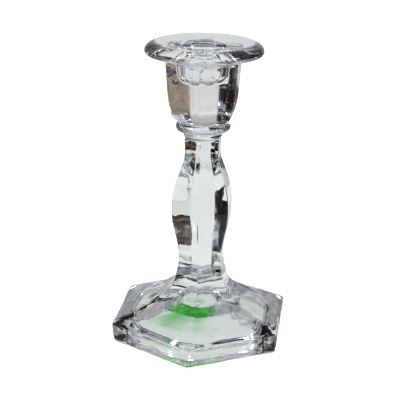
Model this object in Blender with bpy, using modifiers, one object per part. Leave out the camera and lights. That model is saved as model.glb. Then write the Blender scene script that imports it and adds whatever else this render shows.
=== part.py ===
"""Clear glass candlestick: a hexagonal pressed-glass stick with a round drip rim, in metres, +Z up.

The pieces, from the table up: a felt ring under the foot, the hollow hexagonal foot with a felt pad glued
up inside it, the hexagonal baluster stem, a small ring, a round collar bead, and the candle socket with
its drip rim.
All hexagonal sections share their corner directions, with one corner towards -Y.
"""

from math import cos, pi, radians, sin

import bpy

# Driving dimensions. "Corner" radii are measured from the axis to a corner of the hexagon.
HEIGHT = 0.1582
CORNERS = 6
JOINT_GAP = 0.0003

FELT_THICKNESS = 0.0007
FELT_INSET = 0.0014
FELT_PAD_CORNER = 0.0190
FELT_PAD_OPENING_CORNER = 0.0127

FOOT_CORNER = 0.0509
FOOT_SKIRT_TOP = 0.0095
FOOT_SHOULDER_ROUND = 0.0016
FOOT_WALL = 0.0133
HOLLOW_TOP = 0.0230
HOLLOW_NECK_CORNER = 0.0125
HOLLOW_NECK_HEIGHT = 0.0142
HOLLOW_SLOPE = 0.359

STEM_FOOT_JOINT = 0.0345
STEM_TOP = 0.1082
STEM_FOOT_CORNER = 0.0146
STEM_WAIST_CORNER = 0.0131
STEM_BELLY_CORNER = 0.0175
STEM_NECK_CORNER = 0.0104

RING_HEIGHT = 0.0023
RING_RADIUS = 0.0099

COLLAR_HEIGHT = 0.0066
COLLAR_RADIUS = 0.01435
COLLAR_WAIST = 0.0120
COLLAR_ROUND = 0.0024

CUP_BASE_CORNER = 0.0139
CUP_TOP_CORNER = 0.0212
CUP_TOP = 0.1490

RIM_RADIUS = 0.0305
RIM_WIDEST_HEIGHT = 0.1542
RIM_CREST_RADIUS = 0.0248
RIM_EDGE_ROUND = 0.0023
RIM_DISH = 0.0010

CANDLE_BORE_RADIUS = 0.0115
CANDLE_BORE_FLOOR_RADIUS = 0.0104
CANDLE_BORE_DEPTH = 0.0195
BORE_MOUTH_ROUND = 0.0014
BORE_FLOOR_ROUND = 0.0060

RIDGE_ROUND = 0.0007
ROUND_STEPS = 48
BORE_STEPS = 36

GLASS_COLOUR = (0.93, 0.96, 0.95, 1.0)
FELT_COLOUR = (0.10, 0.38, 0.10, 1.0)


def clear_scene():
    for obj in list(bpy.data.objects):
        bpy.data.objects.remove(obj, do_unlink=True)


def new_collection(name, is_helper=False):
    collection = bpy.data.collections.new(name)
    bpy.context.scene.collection.children.link(collection)
    collection.hide_render = is_helper
    return collection


def principled(name, colour, roughness, transmission=0.0):
    material = bpy.data.materials.new(name)
    material.use_nodes = True
    shader = material.node_tree.nodes["Principled BSDF"]
    shader.inputs["Base Color"].default_value = colour
    shader.inputs["Roughness"].default_value = roughness
    shader.inputs["Metallic"].default_value = 0.0
    shader.inputs["Transmission Weight"].default_value = transmission
    material.diffuse_color = colour
    return material


def arc(centre, radius, start, end, steps):
    """Points (radius, height) on an arc in the profile's plane; angles in degrees from outward, up positive."""
    points = []
    for step in range(steps + 1):
        angle = radians(start + (end - start) * step / steps)
        points.append((centre[0] + radius * cos(angle), centre[1] + radius * sin(angle)))
    return points


def smooth_curve(guides, steps):
    """A Catmull-Rom curve through the guide points, with the given number of steps between each two."""
    ends = [guides[0]] + list(guides) + [guides[-1]]
    points = []
    for first, second, third, fourth in zip(ends, ends[1:], ends[2:], ends[3:]):
        for step in range(steps):
            t = step / steps
            points.append(tuple(
                0.5 * (2 * b + (c - a) * t + (2 * a - 5 * b + 4 * c - d) * t**2 + (3 * b - a - 3 * c + d) * t**3)
                for a, b, c, d in zip(first, second, third, fourth)
            ))
    points.append(guides[-1])
    return points


def turned(name, profile, steps, material, collection):
    """A closed solid made by turning a profile, given from its top on the axis down to its bottom on the axis."""
    mesh = bpy.data.meshes.new(name)
    edges = [(index, index + 1) for index in range(len(profile) - 1)]
    mesh.from_pydata([(radius, 0.0, height) for radius, height in profile], edges, [])
    mesh.materials.append(material)
    obj = bpy.data.objects.new(name, mesh)
    collection.objects.link(obj)
    screw = obj.modifiers.new("Turn", "SCREW")
    screw.axis = "Z"
    screw.angle = 2 * pi
    screw.steps = steps
    screw.render_steps = steps
    screw.use_merge_vertices = True
    screw.merge_threshold = 0.00001
    screw.use_smooth_shade = steps != CORNERS
    return obj


def hexagonal(name, profile, material, collection):
    """The same with six flat sides, turned so that one corner points towards -Y."""
    obj = turned(name, profile, CORNERS, material, collection)
    obj.rotation_euler.z = pi / CORNERS
    return obj


def soften_ridges(obj, width=RIDGE_ROUND):
    bevel = obj.modifiers.new("Fire polish", "BEVEL")
    bevel.width = width
    bevel.segments = 2
    bevel.limit_method = "ANGLE"
    bevel.angle_limit = radians(40)


def combine(obj, operation, other):
    boolean = obj.modifiers.new(operation.title(), "BOOLEAN")
    boolean.operation = operation
    boolean.object = other
    boolean.solver = "EXACT"


def hide_helper(obj):
    obj.hide_render = True
    obj.display_type = "WIRE"


def cut_opening(sheet, corner, felt, helpers):
    """Cuts a six-sided opening right through a felt sheet, whatever its height."""
    profile = [(0.0, HEIGHT), (corner, HEIGHT), (corner, -HEIGHT), (0.0, -HEIGHT)]
    opening = hexagonal(sheet.name + "_opening", profile, felt, helpers)
    hide_helper(opening)
    combine(sheet, "DIFFERENCE", opening)


def make_felt_ring(felt, parts, helpers):
    corner = FOOT_CORNER - FELT_INSET
    profile = [(0.0, FELT_THICKNESS), (corner, FELT_THICKNESS), (corner, 0.0), (0.0, 0.0)]
    ring = hexagonal("felt_ring", profile, felt, parts)
    cut_opening(ring, FOOT_CORNER - FOOT_WALL + 2 * JOINT_GAP, felt, helpers)


def slope_height(corner):
    """Height of the hollow's sloping ceiling at a corner radius."""
    return HOLLOW_NECK_HEIGHT - HOLLOW_SLOPE * (corner - HOLLOW_NECK_CORNER)


def make_felt_pad(felt, parts, helpers):
    """The pad lies against the sloping ceiling, round the neck of the hollow's narrow top."""
    top = slope_height(HOLLOW_NECK_CORNER) - 1.1 * JOINT_GAP
    rim = slope_height(FELT_PAD_CORNER) - 1.1 * JOINT_GAP
    profile = [
        (0.0, top),
        (HOLLOW_NECK_CORNER, top),
        (FELT_PAD_CORNER, rim),
        (FELT_PAD_CORNER, rim - FELT_THICKNESS),
        (HOLLOW_NECK_CORNER, top - FELT_THICKNESS),
        (0.0, top - FELT_THICKNESS),
    ]
    pad = hexagonal("felt_pad", profile, felt, parts)
    cut_opening(pad, FELT_PAD_OPENING_CORNER, felt, helpers)


def foot_profile(bottom):
    """The straight slope from the shoulder turns up in one hollow curve to the joint with the stem."""
    shoulder = FOOT_CORNER - FOOT_SHOULDER_ROUND
    slope = smooth_curve(
        [
            (STEM_FOOT_CORNER, STEM_FOOT_JOINT),
            (0.0158, 0.0300),
            (0.0182, 0.0262),
            (0.0235, 0.0223),
            (0.0315, 0.0185),
            (0.0450, 0.0132),
            (shoulder, FOOT_SKIRT_TOP + FOOT_SHOULDER_ROUND),
        ],
        3,
    )
    rounding = arc((shoulder, FOOT_SKIRT_TOP), FOOT_SHOULDER_ROUND, 60, 0, 2)
    skirt = [(FOOT_CORNER - 0.0005, bottom + 0.0012), (FOOT_CORNER - 0.0013, bottom)]
    return [(0.0, STEM_FOOT_JOINT)] + slope + rounding + skirt + [(0.0, bottom)]


def hollow_profile(bottom):
    """The recess under the foot: a low wall, a slope that follows the outside, and a narrow rounded top."""
    corner = FOOT_CORNER - FOOT_WALL
    narrow_top = smooth_curve(
        [
            (0.0045, HOLLOW_TOP - 0.0004),
            (0.0076, HOLLOW_TOP - 0.0033),
            (0.0104, HOLLOW_NECK_HEIGHT + 0.0014),
            (HOLLOW_NECK_CORNER, HOLLOW_NECK_HEIGHT),
        ],
        3,
    )
    below = bottom - 0.002
    wall = [(corner, slope_height(corner)), (corner + 0.0003, below), (0.0, below)]
    return [(0.0, HOLLOW_TOP)] + narrow_top + wall


def make_foot(glass, parts, helpers):
    bottom = FELT_THICKNESS + JOINT_GAP
    foot = hexagonal("foot", foot_profile(bottom), glass, parts)
    hollow = hexagonal("foot_hollow", hollow_profile(bottom), glass, helpers)
    hide_helper(hollow)
    soften_ridges(foot)
    combine(foot, "DIFFERENCE", hollow)


def make_stem(glass, parts):
    bottom = STEM_FOOT_JOINT + JOINT_GAP
    outline = smooth_curve(
        [
            (STEM_NECK_CORNER, STEM_TOP),
            (STEM_NECK_CORNER, 0.0985),
            (0.0124, 0.0922),
            (0.0160, 0.0820),
            (STEM_BELLY_CORNER, 0.0725),
            (0.0167, 0.0636),
            (0.0143, 0.0530),
            (STEM_WAIST_CORNER, 0.0450),
            (0.0132, 0.0400),
            (STEM_FOOT_CORNER, bottom),
        ],
        3,
    )
    stem = hexagonal("stem", [(0.0, STEM_TOP)] + outline + [(0.0, bottom)], glass, parts)
    soften_ridges(stem)


def make_stem_ring(glass, parts):
    bottom = STEM_TOP + JOINT_GAP
    middle = bottom + RING_HEIGHT / 2
    edge = arc((RING_RADIUS - RING_HEIGHT / 2, middle), RING_HEIGHT / 2, 90, -90, 6)
    turned("stem_ring", [(0.0, edge[0][1])] + edge + [(0.0, edge[-1][1])], ROUND_STEPS, glass, parts)
    return bottom + RING_HEIGHT


def make_collar_bead(glass, parts, bottom):
    top = bottom + COLLAR_HEIGHT
    middle = bottom + 0.52 * COLLAR_HEIGHT
    bead = arc((COLLAR_RADIUS - COLLAR_ROUND, middle), COLLAR_ROUND, 80, -80, 8)
    profile = [(0.0, top), (COLLAR_WAIST, top)] + bead + [(COLLAR_WAIST - 0.0012, bottom), (0.0, bottom)]
    turned("collar_bead", profile, ROUND_STEPS, glass, parts)
    return top


def cup_profile(bottom):
    side = smooth_curve(
        [
            (CUP_TOP_CORNER, CUP_TOP),
            (0.0204, 0.1385),
            (0.0194, 0.1290),
            (0.0183, 0.1225),
            (0.0168, 0.1195),
            (CUP_BASE_CORNER, bottom),
        ],
        3,
    )
    inside_rim = CUP_TOP + 0.0030
    return [(0.0, inside_rim), (CUP_TOP_CORNER, inside_rim)] + side + [(0.0, bottom)]


def rim_profile():
    """A thick roll, slightly dished around the hole, that runs down to the cup as a shallow cone."""
    crown = smooth_curve(
        [
            (RIM_CREST_RADIUS, HEIGHT),
            (RIM_CREST_RADIUS + 0.0022, HEIGHT - 0.0004),
            (RIM_CREST_RADIUS + 0.0041, HEIGHT - 0.0014),
            (RIM_CREST_RADIUS + 0.0052, HEIGHT - 0.0026),
            (RIM_RADIUS, RIM_WIDEST_HEIGHT),
        ],
        2,
    )
    edge = arc((RIM_RADIUS - RIM_EDGE_ROUND, RIM_WIDEST_HEIGHT), RIM_EDGE_ROUND, -15, -75, 4)
    inside_cup = (CUP_TOP_CORNER * 0.95, CUP_TOP)
    dish = HEIGHT - RIM_DISH
    return [(0.0, dish), (CANDLE_BORE_RADIUS + 0.002, dish)] + crown + edge + [inside_cup, (0.0, CUP_TOP)]


def bore_profile():
    """The candle's hole: a flared mouth, a wall that tapers inwards and a floor with a large rounding."""
    mouth = HEIGHT - RIM_DISH
    floor = mouth - CANDLE_BORE_DEPTH
    wide = CANDLE_BORE_RADIUS + BORE_MOUTH_ROUND
    flare = arc((wide, mouth - BORE_MOUTH_ROUND), BORE_MOUTH_ROUND, 90, 180, 4)
    centre = (CANDLE_BORE_FLOOR_RADIUS - BORE_FLOOR_ROUND, floor + BORE_FLOOR_ROUND)
    rounding = arc(centre, BORE_FLOOR_ROUND, 0, -90, 6)
    above = HEIGHT + 0.004
    return [(0.0, above), (wide, above)] + flare + rounding + [(0.0, floor)]


def make_candle_socket(glass, parts, helpers, bottom):
    socket = hexagonal("candle_socket", cup_profile(bottom), glass, parts)
    rim = turned("drip_rim", rim_profile(), ROUND_STEPS, glass, helpers)
    bore = turned("candle_bore", bore_profile(), BORE_STEPS, glass, helpers)
    for helper in (rim, bore):
        helper.rotation_euler.z = -socket.rotation_euler.z
        hide_helper(helper)
    soften_ridges(socket)
    combine(socket, "UNION", rim)
    combine(socket, "DIFFERENCE", bore)


def main():
    clear_scene()
    parts = new_collection("glass_candlestick")
    helpers = new_collection("cutters", is_helper=True)
    glass = principled("clear_glass", GLASS_COLOUR, 0.03, transmission=1.0)
    felt = principled("green_felt", FELT_COLOUR, 0.95)
    make_felt_ring(felt, parts, helpers)
    make_felt_pad(felt, parts, helpers)
    make_foot(glass, parts, helpers)
    make_stem(glass, parts)
    ring_top = make_stem_ring(glass, parts)
    collar_top = make_collar_bead(glass, parts, ring_top + JOINT_GAP)
    make_candle_socket(glass, parts, helpers, collar_top + JOINT_GAP)


main()
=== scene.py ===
from math import atan2, cos, pi, radians, sin, sqrt

import bmesh
import bpy
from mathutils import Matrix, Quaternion, Vector, noise


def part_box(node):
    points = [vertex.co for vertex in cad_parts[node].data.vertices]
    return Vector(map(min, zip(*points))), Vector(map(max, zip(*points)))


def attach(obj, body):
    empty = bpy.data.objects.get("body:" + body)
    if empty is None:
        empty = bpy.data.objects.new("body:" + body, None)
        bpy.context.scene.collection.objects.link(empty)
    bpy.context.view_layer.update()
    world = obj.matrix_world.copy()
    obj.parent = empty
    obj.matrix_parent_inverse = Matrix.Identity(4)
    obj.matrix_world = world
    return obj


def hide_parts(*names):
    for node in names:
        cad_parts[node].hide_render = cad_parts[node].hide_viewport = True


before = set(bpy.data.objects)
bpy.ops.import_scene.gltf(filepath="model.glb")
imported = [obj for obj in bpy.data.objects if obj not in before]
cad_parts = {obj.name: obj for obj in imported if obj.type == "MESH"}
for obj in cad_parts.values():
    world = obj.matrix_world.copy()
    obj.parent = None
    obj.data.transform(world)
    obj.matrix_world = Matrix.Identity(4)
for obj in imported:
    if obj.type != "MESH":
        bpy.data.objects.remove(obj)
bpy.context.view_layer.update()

# The visual glass stays this far under the CAD's top, to leave room for its waves.
WAVE_ROOM = 0.0001
# The CAD keeps 0.3 mm between the foot and its felt, and the visual glass closes this much of it.
CLOSED_GAP = 0.0002

# The candlestick's own sizes, from the frame, in metres. Its axis is Z, and a front corner points to -Y.
# A "corner" radius runs from the axis to a corner of the hexagon.
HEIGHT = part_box("candle_socket")[1].z - WAVE_ROOM
FOOT_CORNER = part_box("foot")[1].y
GLASS_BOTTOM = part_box("foot")[0].z - CLOSED_GAP
FOOT_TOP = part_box("foot")[1].z
STEM_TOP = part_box("stem")[1].z
BELLY_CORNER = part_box("stem")[1].y
RING_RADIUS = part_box("stem_ring")[1].x
RING_MIDDLE = (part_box("stem_ring")[0].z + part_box("stem_ring")[1].z) / 2
RING_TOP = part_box("stem_ring")[1].z
COLLAR_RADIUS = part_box("collar_bead")[1].x
COLLAR_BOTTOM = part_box("collar_bead")[0].z
COLLAR_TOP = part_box("collar_bead")[1].z
RIM_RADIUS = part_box("candle_socket")[1].x
FELT_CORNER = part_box("felt_ring")[1].y
FELT_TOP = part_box("felt_ring")[1].z
PAD_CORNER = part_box("felt_pad")[1].y

# Details of the glass that the frame's boxes don't give.
SKIRT_TOP = 0.0095
SKIRT_RIDGE_ROUND = 0.0022
SHOULDER_ROUND = 0.0016
FOOT_RIDGE_WIDENING = 0.0026
HOLLOW_CORNER = 0.0376
HOLLOW_TOP = 0.0232
HOLLOW_RIDGE_ROUND = 0.0160
LIP_ROUND = 0.0008
LOW_WALL_HEIGHT = 0.0052
NECK_CORNER = 0.0125
NECK_HEIGHT = 0.0142
HOLLOW_SLOPE = (NECK_HEIGHT - LOW_WALL_HEIGHT) / (HOLLOW_CORNER - NECK_CORNER)
WAIST_CORNER = 0.0131
STEM_NECK_CORNER = 0.0104
RING_ROUND = 0.0011
COLLAR_ROUND = 0.0024
CUP_RIDGE_ROUND = 0.0012
CUP_TOP = 0.1490
CUP_TOP_CORNER = 0.0212
RIM_WIDEST = 0.1542
RIM_EDGE_ROUND = 0.0023
RIM_CREST_RADIUS = 0.0248
RIM_DISH = 0.0010
BORE_RADIUS = 0.0115
BORE_MOUTH_ROUND = 0.0014
BORE_FLOOR_RADIUS = 0.0104
BORE_DEPTH = 0.0195
BORE_FLOOR_ROUND = 0.0060
RIDGE_ROUND = 0.0009

# The felts. The pad's edge stands a little past its CAD solid, as fabric may.
FELT_OPENING = 0.0382
PAD_OPENING = 0.0127
PAD_EDGE = PAD_CORNER + 0.0015
FELT_THICKNESS = 0.0007
FELT_RIDGE_ROUND = 0.0012
PAD_RIDGE_ROUND = 0.0020
GLUE = 0.0001
# The felt ring's rough faces keep this far inside its CAD solid.
ROUGH_FACE_ROOM = 0.00005

# Waves, each as (depth, length). The glass has deeper ones low in the foot.
GLASS_WAVES = ((0.00010, 0.0085), (0.00003, 0.0030))
DEEPER_IN_FOOT = 3.0
DEEPER_BELOW = 0.033
DEEPER_FADE = 0.006
FELT_WAVES = ((0.00016, 0.0022), (0.00030, 0.0075))
FELT_UPRIGHT_SHARE = 0.08
FELT_SEED = 7

# How finely the meshes are divided.
CURVE_STEPS = 8
ROUND_STEPS = 4
GLASS_FLAT_STEPS = 5

FACE_ANGLE = radians(30)
APOTHEM = cos(FACE_ANGLE)

# Colours are linear. A fourth value is the alpha, which is always 1.
WHITE = (1.0, 1.0, 1.0, 1.0)
TINTED_GLASS = (0.978, 0.986, 0.994, 1.0)
CLEAREST_GLASS = (0.992, 0.996, 1.0, 1.0)
GLASS_IOR = 1.51
GREEN_FELT = (0.13, 0.86, 0.10, 1.0)
PALE_FELT = (0.94, 0.95, 0.97, 1.0)
# Where each felt has kept its green, and from which distance to which distance the green fades out.
PAD_GREEN_SPOT = (-0.0030, -0.0160, 0.012)
PAD_GREEN_REACH = (0.0080, 0.0135)
RING_GREEN_SPOT = (0.0, -0.0430, 0.0)
RING_GREEN_REACH = (0.0100, 0.0240)

# The camera stands this many degrees to the right of -Y and above the horizontal. Its roll is in degrees,
# its distances in metres, its lens in millimetres, and its shift is a share of the picture's width.
CAMERA_AZIMUTH = 7.41
CAMERA_ELEVATION = 19.13
CAMERA_ROLL = 0.91
CAMERA_DISTANCE = 0.594
CAMERA_TARGET_HEIGHT = 0.0737
CAMERA_LENS = 101.1
CAMERA_SHIFT = -0.005

# The floor that the camera sees.
FLOOR_COLOUR = (0.86, 0.86, 0.8514, 1.0)
FLOOR_GLOW = 0.80

# The sheet of card and the mat on the table, each as two opposite corners and a turn in degrees.
TABLE_SHEET = ((-0.165, -0.13), (0.205, 0.60), 4.0)
DARK_MAT = ((-0.34, 0.30), (0.34, 1.03), -44.0)
TABLE_SHEET_HEIGHT = -0.0001
DARK_MAT_HEIGHT = -0.00005
TABLE_PAPER = (0.53, 0.51, 0.445, 1.0)
TABLE_LIGHT = (0.92, 0.97, 1.0, 1.0)
TABLE_GLOW = 0.41
# The mat's colours, which it gives off as painted glow rather than taking light from the lamps.
MAT_BROWN = (0.012, 0.008, 0.006, 1.0)
MAT_TAN = (0.26, 0.19, 0.120, 1.0)
MAT_BLUE = (0.020, 0.075, 0.26, 1.0)
# The green light under the foot: a faint haze and a patch, each as its reach and its colour.
GREEN_LIGHT_PLACE = (-0.0120, 0.006, 0.0)
GREEN_LIGHT = ((0.045, (0.93, 1.0, 0.93, 1.0)), (0.019, (0.26, 0.66, 0.24, 1.0)))

# Softboxes: name, place, size and power.
SOFTBOXES = (
    ("left_softbox", (-0.9, -0.7, 1.1), 0.40, 5.0),
    ("right_softbox", (1.0, -0.3, 0.8), 0.30, 3.5),
)

# The room round the table: degrees from +Y towards +X, colour, and how cluttered it is, from 0 to 1.
SURROUNDINGS = (
    (-180, (0.34, 0.33, 0.34), 1.0),
    (-142, (0.30, 0.30, 0.33), 1.0),
    (-136, (0.10, 0.10, 0.13), 1.0),
    (-127, (0.006, 0.007, 0.018), 0.6),
    (-113, (0.008, 0.006, 0.010), 0.6),
    (-110, (0.10, 0.08, 0.075), 0.8),
    (-106, (0.36, 0.35, 0.37), 1.0),
    (-84, (0.36, 0.35, 0.36), 1.0),
    (-76, (0.11, 0.11, 0.13), 1.0),
    (-67, (0.11, 0.11, 0.12), 1.0),
    (-60, (0.38, 0.37, 0.37), 0.7),
    (-20, (0.60, 0.60, 0.58), 0.15),
    (8, (0.66, 0.66, 0.65), 0.1),
    (25, (0.50, 0.50, 0.51), 0.3),
    (29, (0.38, 0.32, 0.25), 0.25),
    (37, (0.33, 0.28, 0.23), 0.35),
    (50, (0.20, 0.20, 0.21), 0.9),
    (56, (0.030, 0.030, 0.050), 0.8),
    (65, (0.025, 0.025, 0.040), 0.8),
    (72, (0.32, 0.31, 0.29), 1.0),
    (100, (0.36, 0.36, 0.38), 1.0),
    (121, (0.42, 0.43, 0.45), 1.0),
    (124, (0.008, 0.006, 0.004), 0.6),
    (138, (0.014, 0.012, 0.014), 0.8),
    (143, (0.06, 0.06, 0.08), 1.0),
    (154, (0.13, 0.13, 0.15), 1.0),
    (162, (0.34, 0.33, 0.34), 1.0),
    (180, (0.34, 0.33, 0.34), 1.0),
)
CLUTTER_SCALE = 5.0
CLUTTER_SHADES = (0.10, 1.9)
COOL_THINGS = (0.86, 0.96, 1.20, 1.0)
WARM_THINGS = (1.12, 0.98, 0.84, 1.0)
# The room dims as it rises, and then blends into the light overhead. The rises are sines of elevation.
DIMMING_RISE = (0.05, 0.30)
DIMMED_ROOM = 0.52
OVERHEAD_RISE = (0.45, 0.75)
OVERHEAD = (0.47, 0.51, 0.58, 1.0)


def make_camera():
    azimuth = radians(CAMERA_AZIMUTH)
    elevation = radians(CAMERA_ELEVATION)
    back = Vector((sin(azimuth) * cos(elevation), -cos(azimuth) * cos(elevation), sin(elevation)))
    camera = bpy.data.objects.new("camera", bpy.data.cameras.new("camera"))
    bpy.context.scene.collection.objects.link(camera)
    camera.location = Vector((0.0, 0.0, CAMERA_TARGET_HEIGHT)) + back * CAMERA_DISTANCE
    camera.rotation_mode = "QUATERNION"
    camera.rotation_quaternion = back.to_track_quat("Z", "Y") @ Quaternion((0, 0, 1), radians(CAMERA_ROLL))
    camera.data.lens = CAMERA_LENS
    camera.data.shift_x = CAMERA_SHIFT
    camera.data.clip_start = 0.01
    bpy.context.scene.camera = camera


def arc(centre, radius, start, end, steps):
    """Points (radius, height) on an upright arc; the angles are degrees from outward, up positive."""
    points = []
    for step in range(steps + 1):
        angle = radians(start + (end - start) * step / steps)
        points.append((centre[0] + radius * cos(angle), centre[1] + radius * sin(angle)))
    return points


def spline(a, b, c, d, t):
    """A Catmull-Rom curve's value between b and c, at t from 0 to 1."""
    bend = (2 * a - 5 * b + 4 * c - d) * t**2 + (3 * b - a - 3 * c + d) * t**3
    return 0.5 * (2 * b + (c - a) * t + bend)


def smooth_curve(guides, steps=CURVE_STEPS):
    """A smooth curve through the guide points, with the given number of steps between each two."""
    ends = [guides[0]] + list(guides) + [guides[-1]]
    points = []
    for four_guides in zip(ends, ends[1:], ends[2:], ends[3:]):
        for step in range(steps):
            points.append(tuple(spline(*values, step / steps) for values in zip(*four_guides)))
    points.append(guides[-1])
    return points


# A station is one level of a loft: (distance from the axis to a face, height, rounding of the corners).
def six_sided(points, ridge=RIDGE_ROUND):
    return [(corner * APOTHEM, height, min(ridge, corner * APOTHEM)) for corner, height in points]


def round_section(points):
    return [(radius, height, radius) for radius, height in points]


def ceiling_height(corner):
    """The height of the hollow's sloping ceiling, outside its neck."""
    return NECK_HEIGHT - HOLLOW_SLOPE * (corner - NECK_CORNER)


def hollow_stations():
    """Under the foot, from the narrow rounded top out and down to the land that the felt is glued to."""
    ceiling = smooth_curve([
        (0.0005, HOLLOW_TOP),
        (0.0050, HOLLOW_TOP - 0.0008),
        (0.0078, HOLLOW_TOP - 0.0035),
        (0.0104, NECK_HEIGHT + 0.0014),
        (NECK_CORNER, NECK_HEIGHT),
        (0.0180, ceiling_height(0.0180)),
        (0.0290, ceiling_height(0.0290)),
        (HOLLOW_CORNER, ceiling_height(HOLLOW_CORNER)),
        (HOLLOW_CORNER + 0.0002, GLASS_BOTTOM + LIP_ROUND),
    ])
    lip = arc((HOLLOW_CORNER + 0.0010, GLASS_BOTTOM + LIP_ROUND), LIP_ROUND, 180, 270, 4)
    return six_sided(ceiling + lip, HOLLOW_RIDGE_ROUND)


def foot_stations():
    """The foot's edge, its upright skirt, and the slope up to the waist, whose ridges sharpen inwards."""
    shoulder = FOOT_CORNER - SHOULDER_ROUND
    edge = arc((FOOT_CORNER - 0.0013, GLASS_BOTTOM + 0.0006), 0.0006, 270, 360, 4)
    skirt_end = (FOOT_CORNER, SKIRT_TOP - 0.0005)
    skirt = smooth_curve([edge[-1], (FOOT_CORNER - 0.0003, 0.005), skirt_end], steps=4)
    rounding = arc((shoulder, SKIRT_TOP), SHOULDER_ROUND, 0, 62, 6)
    slope = smooth_curve([
        (shoulder + 0.0006, SKIRT_TOP + 0.0016),
        (0.0450, 0.0132),
        (0.0315, 0.0187),
        (0.0235, 0.0224),
        (0.0182, 0.0262),
        (0.0158, 0.0300),
        (0.0144, FOOT_TOP),
        (0.0134, FOOT_TOP + 0.0050),
    ])
    stations = six_sided(edge[:-1] + skirt + rounding, SKIRT_RIDGE_ROUND)
    for corner, height in slope[1:]:
        widening = min(1.0, max(0.0, (corner - 0.0150) / 0.0150))
        stations += six_sided([(corner, height)], RIDGE_ROUND + FOOT_RIDGE_WIDENING * widening)
    return stations


def stem_stations():
    return six_sided(smooth_curve([
        (WAIST_CORNER, 0.0415),
        (WAIST_CORNER, 0.0450),
        (0.0144, 0.0530),
        (0.0168, 0.0636),
        (BELLY_CORNER, 0.0725),
        (0.0161, 0.0820),
        (0.0125, 0.0922),
        (STEM_NECK_CORNER, 0.0985),
        (STEM_NECK_CORNER, STEM_TOP - 0.0007),
    ]))


def collar_stations():
    """The small ring and the bead, with sharp grooves above and below each."""
    bead_middle = COLLAR_BOTTOM + 0.52 * (COLLAR_TOP - COLLAR_BOTTOM)
    points = smooth_curve([(0.0092, STEM_TOP - 0.0003), (0.0091, STEM_TOP + 0.0001)], steps=2)
    points += arc((RING_RADIUS - RING_ROUND, RING_MIDDLE), RING_ROUND, -80, 80, 6)
    points += [(0.0091, RING_TOP + 0.0003)]
    points += smooth_curve([(0.0098, COLLAR_BOTTOM + 0.0002), (0.0116, COLLAR_BOTTOM + 0.0009)], steps=3)
    points += arc((COLLAR_RADIUS - COLLAR_ROUND, bead_middle), COLLAR_ROUND, -70, 80, 12)
    points += [(0.0121, COLLAR_TOP - 0.0004)]
    shoulder = [(0.0121, COLLAR_TOP - 0.0001, 0.006), (0.0123, COLLAR_TOP + 0.0003, 0.003)]
    return round_section(points) + shoulder


def cup_stations():
    """The six-sided cup, which turns round where it meets the rim."""
    outline = smooth_curve([
        (0.0148, COLLAR_TOP + 0.0008),
        (0.0166, 0.1198),
        (0.0178, 0.1218),
        (0.0186, 0.1245),
        (0.0195, 0.1290),
        (0.0205, 0.1385),
        (CUP_TOP_CORNER, CUP_TOP - 0.0008),
    ])
    return six_sided(outline, CUP_RIDGE_ROUND) + [(0.0187, CUP_TOP, 0.006), (0.0196, CUP_TOP + 0.0004, 0.014)]


def rim_stations():
    """The thick drip rim: a shallow cone below, a rolled edge, and a slight dish round the hole."""
    under = smooth_curve([(0.0212, CUP_TOP + 0.0007), (0.0250, CUP_TOP + 0.0018)], steps=4)
    edge = arc((RIM_RADIUS - RIM_EDGE_ROUND, RIM_WIDEST), RIM_EDGE_ROUND, -75, -15, 8)
    crown = smooth_curve([
        (RIM_RADIUS, RIM_WIDEST),
        (RIM_CREST_RADIUS + 0.0052, HEIGHT - 0.0026),
        (RIM_CREST_RADIUS + 0.0041, HEIGHT - 0.0014),
        (RIM_CREST_RADIUS + 0.0022, HEIGHT - 0.0004),
        (RIM_CREST_RADIUS, HEIGHT),
        (0.0190, HEIGHT - 0.0008),
        (0.0142, HEIGHT - RIM_DISH),
    ], steps=5)
    return round_section(under + edge + crown)


def bore_stations():
    """The candle's hole: a flared mouth, a wall that tapers in, and a floor with a large rounding."""
    mouth = HEIGHT - RIM_DISH
    floor = mouth - BORE_DEPTH
    flare = arc((BORE_RADIUS + BORE_MOUTH_ROUND, mouth - BORE_MOUTH_ROUND), BORE_MOUTH_ROUND, 80, 180, 6)
    wall = smooth_curve([
        (BORE_RADIUS, mouth - 0.0030),
        (BORE_RADIUS - 0.0003, mouth - 0.0075),
        (BORE_FLOOR_RADIUS, floor + BORE_FLOOR_ROUND),
    ], steps=5)
    centre = (BORE_FLOOR_RADIUS - BORE_FLOOR_ROUND, floor + BORE_FLOOR_ROUND)
    rounding = arc(centre, BORE_FLOOR_ROUND, 0, -90, 10)[1:]
    return round_section(flare + wall + rounding + [(0.0025, floor), (0.0004, floor)])


def section(apothem, rounding, flat_steps):
    """The points round one level: six flats and six rounded corners, one of them towards -Y."""
    corner_centre = (apothem - rounding) / APOTHEM
    tangent = atan2(rounding * sin(FACE_ANGLE), corner_centre + rounding * cos(FACE_ANGLE))
    shared = min(tangent, radians(10))

    def reach(angle):
        if angle <= tangent + 1e-12:
            across = corner_centre * sin(angle)
            return corner_centre * cos(angle) + sqrt(max(rounding**2 - across**2, 0.0))
        return apothem / cos(FACE_ANGLE - angle)

    angles = [shared * step / ROUND_STEPS for step in range(ROUND_STEPS)]
    angles += [shared + (FACE_ANGLE - shared) * step / flat_steps for step in range(flat_steps)]
    sector = [(angle, reach(angle)) for angle in angles]
    sector += [(2 * FACE_ANGLE - angle, reach(angle)) for angle in [FACE_ANGLE] + angles[:0:-1]]
    points = []
    for turn in range(6):
        for angle, radius in sector:
            around = radians(60 * turn) + angle - pi / 2
            points.append((radius * cos(around), radius * sin(around)))
    return points


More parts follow.
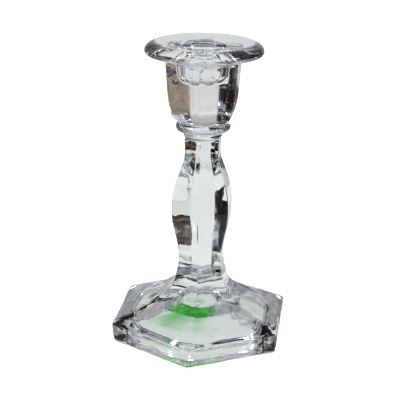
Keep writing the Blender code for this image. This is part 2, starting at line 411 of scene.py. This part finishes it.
def loft(name, stations, flat_steps, is_ring=False):
    """A closed body through the stations: a ring round the axis, or closed at both ends on the axis."""
    levels = [section(apothem, min(rounding, apothem), flat_steps) for apothem, _, rounding in stations]
    count = len(levels[0])
    corners = [(x, y, height) for level, (_, height, _) in zip(levels, stations) for x, y in level]
    starts = [index * count for index in range(len(levels))]
    joined = list(zip(starts, starts[1:] + starts[:1])) if is_ring else list(zip(starts, starts[1:]))
    faces = []
    for low, high in joined:
        for index in range(count):
            beside = (index + 1) % count
            faces.append((low + index, low + beside, high + beside, high + index))
    if not is_ring:
        for start, height in ((starts[0], stations[0][1]), (starts[-1], stations[-1][1])):
            tip = len(corners)
            corners.append((0.0, 0.0, height))
            faces += [(tip, start + index, start + (index + 1) % count) for index in range(count)]
    mesh = bpy.data.meshes.new(name)
    mesh.from_pydata(corners, [], faces)
    face_outwards(mesh)
    mesh.shade_smooth()
    obj = bpy.data.objects.new(name, mesh)
    bpy.context.scene.collection.objects.link(obj)
    return obj


def face_outwards(mesh):
    work = bmesh.new()
    work.from_mesh(mesh)
    bmesh.ops.recalc_face_normals(work, faces=work.faces)
    if work.calc_volume(signed=True) < 0:
        bmesh.ops.reverse_faces(work, faces=work.faces)
    work.to_mesh(mesh)
    work.free()


def make_wavy(mesh, depth, length):
    """Shallow waves along the surface, as pressed glass has where it cooled against the mould."""
    moves = []
    for vertex in mesh.vertices:
        foot_share = min(1.0, max(0.0, (DEEPER_BELOW - vertex.co.z) / DEEPER_FADE))
        deeper = 1 + DEEPER_IN_FOOT * foot_share
        moves.append(vertex.normal * (noise.noise(vertex.co / length) * depth * deeper))
    for vertex, move in zip(mesh.vertices, moves):
        vertex.co += move


def make_node(tree, kind, **settings):
    node = tree.nodes.new("ShaderNode" + kind)
    for name, value in settings.items():
        setattr(node, name, value)
    return node


def set_inputs(node, values):
    for name, value in values.items():
        node.inputs[name].default_value = value


def map_range(tree, value, source, target=(0.0, 1.0), curve="SMOOTHSTEP"):
    """Maps one range of values to another, and holds the result inside the second."""
    node = make_node(tree, "MapRange", interpolation_type=curve)
    set_inputs(node, dict(zip(("From Min", "From Max", "To Min", "To Max"), (*source, *target))))
    tree.links.new(value, node.inputs["Value"])
    return node.outputs[0]


def patches(tree, place, scale, low, high, detail=3.0, edges=(0.36, 0.64)):
    """A random pattern between two values, softer the further apart the edges are."""
    pattern = make_node(tree, "TexNoise")
    set_inputs(pattern, {"Scale": scale, "Detail": detail})
    tree.links.new(place, pattern.inputs["Vector"])
    return map_range(tree, pattern.outputs["Fac"], edges, (low, high))


def blend_colours(tree, share, first, second, kind="MIX"):
    """Mixes two colours, each given as a colour or as another node's output."""
    mix = make_node(tree, "Mix", data_type="RGBA", blend_type=kind)
    for value, socket in ((share, mix.inputs[0]), (first, mix.inputs[6]), (second, mix.inputs[7])):
        if isinstance(value, bpy.types.NodeSocket):
            tree.links.new(value, socket)
        else:
            socket.default_value = value
    return mix.outputs[2]


def multiply(tree, first, second):
    return blend_colours(tree, 1.0, first, second, "MULTIPLY")


def distance_from(tree, place, spot):
    away = make_node(tree, "VectorMath", operation="DISTANCE")
    away.inputs[1].default_value = spot
    tree.links.new(place, away.inputs[0])
    return away.outputs["Value"]


def add_bump(tree, shader, height, strength, distance):
    bump = make_node(tree, "Bump")
    set_inputs(bump, {"Strength": strength, "Distance": distance})
    tree.links.new(height, bump.inputs["Height"])
    tree.links.new(bump.outputs[0], shader.inputs["Normal"])


def new_material(name):
    material = bpy.data.materials.new(name)
    material.use_nodes = True
    return material, material.node_tree, material.node_tree.nodes["Principled BSDF"]


def clear_glass():
    """Clear pressed glass: a trace of tint, faint smears from handling, and a skin not quite flat."""
    material, tree, shader = new_material("clear_glass")
    place = make_node(tree, "TexCoord").outputs["Object"]
    clearness = patches(tree, place, scale=60.0, low=0.0, high=1.0)
    tree.links.new(blend_colours(tree, clearness, TINTED_GLASS, CLEAREST_GLASS), shader.inputs["Base Color"])
    smears = patches(tree, place, scale=90.0, low=0.0, high=0.028, detail=4.0, edges=(0.50, 0.72))
    tree.links.new(smears, shader.inputs["Roughness"])
    skin = patches(tree, place, scale=420.0, low=0.0, high=1.0, detail=2.0, edges=(0.25, 0.75))
    add_bump(tree, shader, skin, strength=0.35, distance=0.00003)
    set_inputs(shader, {"Transmission Weight": 1.0, "IOR": GLASS_IOR})
    return material


def green_felt(name, spot, reach):
    """Green wool felt that has kept its colour round one spot and faded unevenly away from it."""
    material, tree, shader = new_material(name)
    place = make_node(tree, "TexCoord").outputs["Object"]
    ragged = make_node(tree, "Math", operation="ADD")
    tree.links.new(distance_from(tree, place, spot), ragged.inputs[0])
    tree.links.new(patches(tree, place, scale=420.0, low=-0.0022, high=0.0022), ragged.inputs[1])
    dye = blend_colours(tree, map_range(tree, ragged.outputs[0], reach), GREEN_FELT, PALE_FELT)
    wool = patches(tree, place, scale=2600.0, low=0.72, high=1.20, detail=4.0, edges=(0.30, 0.70))
    blotches = patches(tree, place, scale=240.0, low=0.78, high=1.15)
    tree.links.new(multiply(tree, multiply(tree, dye, wool), blotches), shader.inputs["Base Color"])
    add_bump(tree, shader, wool, strength=0.6, distance=0.0002)
    set_inputs(shader, {"Roughness": 0.95, "Sheen Weight": 0.3})
    return material


def make_glass_body():
    """The whole candlestick as one skin, because glass that is fused shows no gaps inside."""
    stations = hollow_stations() + foot_stations() + stem_stations() + collar_stations()
    stations += cup_stations() + rim_stations() + bore_stations()
    body = loft("glass_body", stations, GLASS_FLAT_STEPS)
    for depth, length in GLASS_WAVES:
        make_wavy(body.data, depth, length)
    body.data.materials.append(clear_glass())
    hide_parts("foot", "stem", "stem_ring", "collar_bead", "candle_socket")
    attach(body, "root")


def finish_felt(cloth, felt):
    """A hand-cut, slightly woolly surface: points stray a little, and more so sideways than upright."""
    noise.seed_set(FELT_SEED)
    for vertex in cloth.data.vertices:
        stray = Vector((0.0, 0.0, 0.0))
        for depth, length in FELT_WAVES:
            stray += noise.noise_vector(vertex.co / length) * depth
        vertex.co += Vector((stray.x, stray.y, stray.z * FELT_UPRIGHT_SHARE))
    cloth.data.materials.append(felt)
    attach(cloth, "root")


def make_felt_pad():
    """The pad glued up inside the hollow: a thin six-sided ring that follows the sloping ceiling."""
    steps = 16
    corners = [PAD_OPENING + (PAD_EDGE - PAD_OPENING) * step / steps for step in range(steps + 1)]
    top = [(corner, ceiling_height(corner) - GLUE) for corner in corners]
    under = [(corner, height - FELT_THICKNESS) for corner, height in reversed(top)]
    pad = loft("felt_pad_cloth", six_sided(top + under, PAD_RIDGE_ROUND), flat_steps=12, is_ring=True)
    finish_felt(pad, green_felt("pad_felt", PAD_GREEN_SPOT, PAD_GREEN_REACH))
    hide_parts("felt_pad")


def make_felt_ring():
    """The ring of felt glued under the foot, which the candlestick stands on."""
    steps = 20
    corners = [FELT_OPENING + (FELT_CORNER - FELT_OPENING) * step / steps for step in range(steps + 1)]
    top = [(corner, FELT_TOP - ROUGH_FACE_ROOM) for corner in corners]
    under = [(corner, ROUGH_FACE_ROOM) for corner in reversed(corners)]
    ring = loft("felt_ring_cloth", six_sided(top + under, FELT_RIDGE_ROUND), flat_steps=24, is_ring=True)
    finish_felt(ring, green_felt("ring_felt", RING_GREEN_SPOT, RING_GREEN_REACH))
    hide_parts("felt_ring")


def flat_sheet(name, low, high, turn, height, material):
    """A level rectangle for the stage, turned about the candlestick's axis."""
    mesh = bpy.data.meshes.new(name)
    corners = [(low[0], low[1], 0), (high[0], low[1], 0), (high[0], high[1], 0), (low[0], high[1], 0)]
    mesh.from_pydata(corners, [], [(0, 1, 2, 3)])
    mesh.materials.append(material)
    sheet = bpy.data.objects.new(name, mesh)
    bpy.context.scene.collection.objects.link(sheet)
    sheet.location.z = height
    sheet.rotation_euler.z = radians(turn)
    return sheet


def pale_floor():
    material, _, shader = new_material("pale_floor")
    set_inputs(shader, {
        "Base Color": FLOOR_COLOUR,
        "Roughness": 0.9,
        "Specular IOR Level": 0.1,
        "Emission Color": WHITE,
        "Emission Strength": FLOOR_GLOW,
    })
    return material


def table_card():
    """White card with the green light that the felt pad throws on it."""
    material, tree, shader = new_material("table_sheet")
    away = distance_from(tree, make_node(tree, "TexCoord").outputs["Object"], GREEN_LIGHT_PLACE)
    colour = WHITE
    for reach, green in GREEN_LIGHT:
        colour = blend_colours(tree, map_range(tree, away, (reach, 0.0)), colour, green)
    for tint, socket in ((TABLE_PAPER, "Base Color"), (TABLE_LIGHT, "Emission Color")):
        tree.links.new(multiply(tree, colour, tint), shader.inputs[socket])
    set_inputs(shader, {"Roughness": 0.9, "Emission Strength": TABLE_GLOW})
    return material


def patterned_mat():
    """The dark brown cloth on the table behind, with tan and blue in its pattern, painted as glow that shines
    without any lamp.
    """
    material, tree, shader = new_material("dark_mat")
    place = make_node(tree, "TexCoord").outputs["Object"]
    weave = patches(tree, place, scale=14.0, low=0.0, high=1.0, detail=4.0, edges=(0.46, 0.66))
    ground = blend_colours(tree, weave, MAT_BROWN, MAT_TAN)
    blue = patches(tree, place, scale=9.0, low=0.0, high=1.0, detail=2.0, edges=(0.57, 0.63))
    # The pattern is painted glow: its colours go into the emission, and the mat's own near-black base takes
    # almost no light.
    tree.links.new(blend_colours(tree, blue, ground, MAT_BLUE), shader.inputs["Emission Color"])
    set_inputs(shader, {
        "Base Color": (0.01, 0.01, 0.01, 1.0),
        "Specular IOR Level": 0.0,
        "Emission Strength": 1.0,
    })
    return material


def make_floor():
    """The plain floor, which only the camera sees, and the sheet and mat, which only the glass shows."""
    floor = flat_sheet("floor", low=(-4, -4), high=(4, 4), turn=0.0, height=0.0, material=pale_floor())
    floor.visible_transmission = False
    floor.visible_glossy = False
    floor.visible_diffuse = False
    floor.visible_shadow = False
    sheet = flat_sheet("table_sheet", *TABLE_SHEET, TABLE_SHEET_HEIGHT, table_card())
    sheet.visible_camera = False
    mat = flat_sheet("dark_mat", *DARK_MAT, DARK_MAT_HEIGHT, patterned_mat())
    mat.visible_camera = False


def make_soft_light(name, place, size, power):
    """A softbox aimed at the middle of the candlestick."""
    light = bpy.data.objects.new(name, bpy.data.lights.new(name, "AREA"))
    bpy.context.scene.collection.objects.link(light)
    light.location = place
    light.rotation_mode = "QUATERNION"
    light.rotation_quaternion = (Vector(place) - Vector((0.0, 0.0, HEIGHT / 2))).to_track_quat("Z", "Y")
    light.data.size = size
    light.data.energy = power


def heading_of(tree, parts):
    """The heading of a direction, as a share of the full turn that SURROUNDINGS goes round."""
    around = make_node(tree, "Math", operation="ARCTAN2")
    tree.links.new(parts.outputs["X"], around.inputs[0])
    tree.links.new(parts.outputs["Y"], around.inputs[1])
    return map_range(tree, around.outputs[0], (-pi, pi), curve="LINEAR")


def room_colour(tree, direction, heading):
    """The walls and things in the room: a ramp by heading, broken up by clutter where the ramp says so."""
    ramp = make_node(tree, "ValToRGB")
    tree.links.new(heading, ramp.inputs[0])
    stops = ramp.color_ramp.elements
    stops[0].color = (*SURROUNDINGS[0][1], SURROUNDINGS[0][2])
    stops[-1].color = (*SURROUNDINGS[-1][1], SURROUNDINGS[-1][2])
    for angle, colour, clutter in SURROUNDINGS[1:-1]:
        stops.new((angle + 180) / 360).color = (*colour, clutter)
    shade = patches(tree, direction, CLUTTER_SCALE, *CLUTTER_SHADES, detail=5.0, edges=(0.39, 0.61))
    warmth = patches(tree, direction, scale=2.3, low=0.0, high=1.0, detail=1.0)
    things = multiply(tree, blend_colours(tree, warmth, COOL_THINGS, WARM_THINGS), shade)
    return multiply(tree, ramp.outputs["Color"], blend_colours(tree, ramp.outputs["Alpha"], WHITE, things))


def make_surroundings():
    """A studio whose backdrop is white and whose sides, seen only through the glass, are grey to dark."""
    world = bpy.data.worlds.new("studio")
    bpy.context.scene.world = world
    world.use_nodes = True
    tree = world.node_tree
    tree.nodes.clear()
    direction = make_node(tree, "TexCoord").outputs["Generated"]
    parts = make_node(tree, "SeparateXYZ")
    tree.links.new(direction, parts.inputs[0])
    rise = parts.outputs["Z"]
    dimming = map_range(tree, rise, DIMMING_RISE, (1.0, DIMMED_ROOM), curve="LINEAR")
    room = multiply(tree, room_colour(tree, direction, heading_of(tree, parts)), dimming)
    beams = patches(tree, direction, scale=6.0, low=0.45, high=1.40, edges=(0.42, 0.60))
    overhead_share = map_range(tree, rise, OVERHEAD_RISE, curve="LINEAR")
    around_glass = blend_colours(tree, overhead_share, room, multiply(tree, OVERHEAD, beams))
    camera_ray = make_node(tree, "LightPath").outputs["Is Camera Ray"]
    background = make_node(tree, "Background")
    tree.links.new(blend_colours(tree, camera_ray, around_glass, WHITE), background.inputs["Color"])
    output = make_node(tree, "OutputWorld")
    tree.links.new(background.outputs[0], output.inputs["Surface"])


make_camera()
make_glass_body()
make_felt_pad()
make_felt_ring()
make_floor()
make_surroundings()
for softbox in SOFTBOXES:
    make_soft_light(*softbox)
bpy.context.scene.view_settings.view_transform = "Standard"
bpy.context.scene.view_settings.look = "Medium High Contrast"
